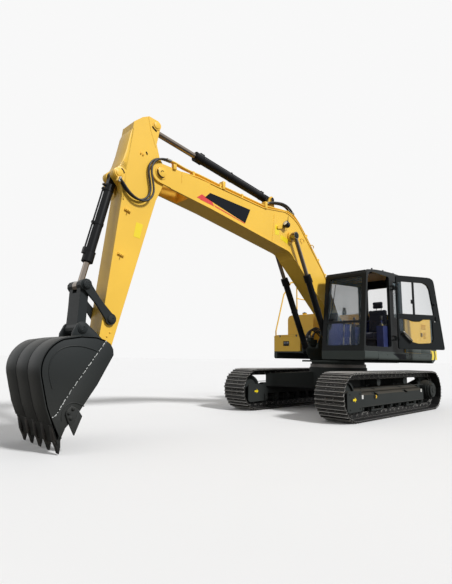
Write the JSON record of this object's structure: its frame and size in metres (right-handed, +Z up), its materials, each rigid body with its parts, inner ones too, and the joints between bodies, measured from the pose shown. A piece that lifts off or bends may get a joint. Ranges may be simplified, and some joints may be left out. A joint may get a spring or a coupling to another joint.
{
  "type": "crawler excavator",
  "caption": "Crawler excavator with steel tracks, a slewing upper with cab, counterweight and tanks, and a boom, arm and backhoe bucket on hydraulic cylinders.",
  "frame": {"origin": "on the ground under the slewing axis", "axes": "+X forward towards the bucket, +Y to the machine's left, +Z up"},
  "size_m": [10.0385, 3.5244, 4.8449],
  "materials": {
    "frame_black": "satin",
    "ring_steel": "oiled",
    "track_steel": "worn",
    "deck_grey": "satin",
    "weight_black": "painted, satin",
    "panel_yellow": "satin",
    "engine_grey": "painted",
    "radiator_black": "matte",
    "rail_yellow": "gloss",
    "exhaust": "heat-stained",
    "cab_grey": "satin",
    "glass": "clear",
    "floor_mat": "ribbed",
    "seat_cloth": "woven",
    "trim_plastic": "grained",
    "boom_yellow": "satin",
    "lamp_black": "matte",
    "bucket_black": "worn",
    "cylinder_black": "gloss",
    "chrome_rod": "polished"
  },
  "bodies": {
    "undercarriage": {"carbody": "frame_black", "slew_ring": "ring_steel", "track_frames": "frame_black", "tracks": "track_steel", "sprockets": "track_steel", "idlers": "track_steel", "track_rollers": "track_steel"},
    "upper": {"deck": "deck_grey", "counterweight": "weight_black", "house": "panel_yellow", "engine": "engine_grey", "radiator": "radiator_black", "hydraulic_tank": "panel_yellow", "fuel_tank": "panel_yellow", "toolbox": "panel_yellow", "handrails": "rail_yellow", "muffler": "exhaust", "cab_shell": "cab_grey", "cab_glass": "glass", "cab_floor": "floor_mat", "seat": "seat_cloth", "consoles": "trim_plastic"},
    "hood": {"hood": "panel_yellow"},
    "left_door": {"left_door": "panel_yellow"},
    "right_door": {"right_door": "panel_yellow"},
    "toolbox_lid": {"toolbox_lid": "panel_yellow"},
    "cab_door": {"cab_door": "cab_grey", "door_glass": "glass"},
    "boom": {"boom": "boom_yellow", "boom_pipes": "rail_yellow", "boom_lamp": "lamp_black"},
    "arm": {"arm": "boom_yellow", "arm_pipes": "rail_yellow"},
    "bucket": {"bucket": "bucket_black"},
    "rocker": {"rocker": "bucket_black"},
    "h_link": {"h_link": "bucket_black"},
    "boom_barrels": {"boom_barrels": "cylinder_black"},
    "boom_rods": {"boom_rods": "chrome_rod"},
    "arm_barrel": {"arm_barrel": "cylinder_black"},
    "arm_rod": {"arm_rod": "chrome_rod"},
    "bucket_barrel": {"bucket_barrel": "cylinder_black"},
    "bucket_rod": {"bucket_rod": "chrome_rod"}
  },
  "joints": [
    {"name": "swing", "type": "hinge", "parent": "undercarriage", "child": "upper", "pos_m": [0, 0, 1.02], "axis": [0, 0, 1], "continuous": true},
    {"name": "boom_lift", "type": "hinge", "parent": "upper", "child": "boom", "pos_m": [0.15, 0, 1.715], "axis": [0, -1, 0], "range_deg": [-45, 38]},
    {"name": "arm_fold", "type": "hinge", "parent": "boom", "child": "arm", "pos_m": [5.38501, 0, 3.97497], "axis": [0, 1, 0], "range_deg": [-50, 60]},
    {"name": "bucket_curl", "type": "hinge", "parent": "arm", "child": "bucket", "pos_m": [6.15977, 0, 1.2001], "axis": [0, 1, 0], "range_deg": [-14, 160]},
    {"name": "rocker_turn", "type": "hinge", "parent": "arm", "child": "rocker", "pos_m": [6.09975, 0, 1.61214], "axis": [0, 1, 0], "range_deg": [-9.08, 103.62]},
    {"name": "link_turn", "type": "hinge", "parent": "bucket", "child": "h_link", "pos_m": [6.50006, 0, 1.46215], "axis": [0, 1, 0], "range_deg": [-99.57, 8.73]},
    {"name": "boom_barrel_turn", "type": "hinge", "parent": "upper", "child": "boom_barrels", "pos_m": [0.83, 0, 1.33], "axis": [0, -1, 0], "range_deg": [-45.92, 38.78]},
    {"name": "boom_rod_slide", "type": "slide", "parent": "boom_barrels", "child": "boom_rods", "axis": [0.4647, 0, 0.8855], "range_m": [-0.5675, 0.4793]},
    {"name": "arm_barrel_turn", "type": "hinge", "parent": "boom", "child": "arm_barrel", "pos_m": [2.55037, 0, 4.36545], "axis": [0, 1, 0], "range_deg": [-4.02, 4.82]},
    {"name": "arm_rod_slide", "type": "slide", "parent": "arm_barrel", "child": "arm_rod", "axis": [0.9917, 0, 0.1283], "range_m": [-0.5655, 0.6785]},
    {"name": "bucket_barrel_turn", "type": "hinge", "parent": "arm", "child": "bucket_barrel", "pos_m": [6.09516, 0, 3.74445], "axis": [0, 1, 0], "range_deg": [-0.51, 5.65]},
    {"name": "bucket_rod_slide", "type": "slide", "parent": "bucket_barrel", "child": "bucket_rod", "axis": [0.2234, 0, -0.9747], "range_m": [-0.0776, 0.8821]},
    {"name": "cab_door_swing", "type": "hinge", "parent": "upper", "child": "cab_door", "pos_m": [-0.045, 1.405, 1.61], "axis": [0, 0, -1], "range_deg": [-23, 152]},
    {"name": "hood_lift", "type": "hinge", "parent": "upper", "child": "hood", "pos_m": [-2.14, 0, 2.2003], "axis": [0, -1, 0], "range_deg": [0, 70]},
    {"name": "left_door_swing", "type": "hinge", "parent": "upper", "child": "left_door", "pos_m": [-2.113, 1.356, 1.7], "axis": [0, 0, 1], "range_deg": [0, 110]},
    {"name": "right_door_swing", "type": "hinge", "parent": "upper", "child": "right_door", "pos_m": [-1.247, -1.356, 1.7], "axis": [0, 0, 1], "range_deg": [0, 110]},
    {"name": "toolbox_lid_lift", "type": "hinge", "parent": "upper", "child": "toolbox_lid", "pos_m": [0.16, 0, 1.71], "axis": [0, -1, 0], "range_deg": [0, 80]}
  ],
  "couplings": [
    {"joint": "rocker_turn", "follows": "bucket_curl", "ratio": 0.6475},
    {"joint": "link_turn", "follows": "bucket_curl", "ratio": -0.6222},
    {"joint": "boom_barrel_turn", "follows": "boom_lift", "ratio": 1.02},
    {"joint": "boom_rod_slide", "follows": "boom_lift", "m_per_rad": 0.72193},
    {"joint": "arm_barrel_turn", "follows": "arm_fold", "ratio": 0.08},
    {"joint": "arm_rod_slide", "follows": "arm_fold", "m_per_rad": 0.64744},
    {"joint": "bucket_barrel_turn", "follows": "bucket_curl", "ratio": 0.0352},
    {"joint": "bucket_rod_slide", "follows": "bucket_curl", "m_per_rad": 0.3157}
  ]
}
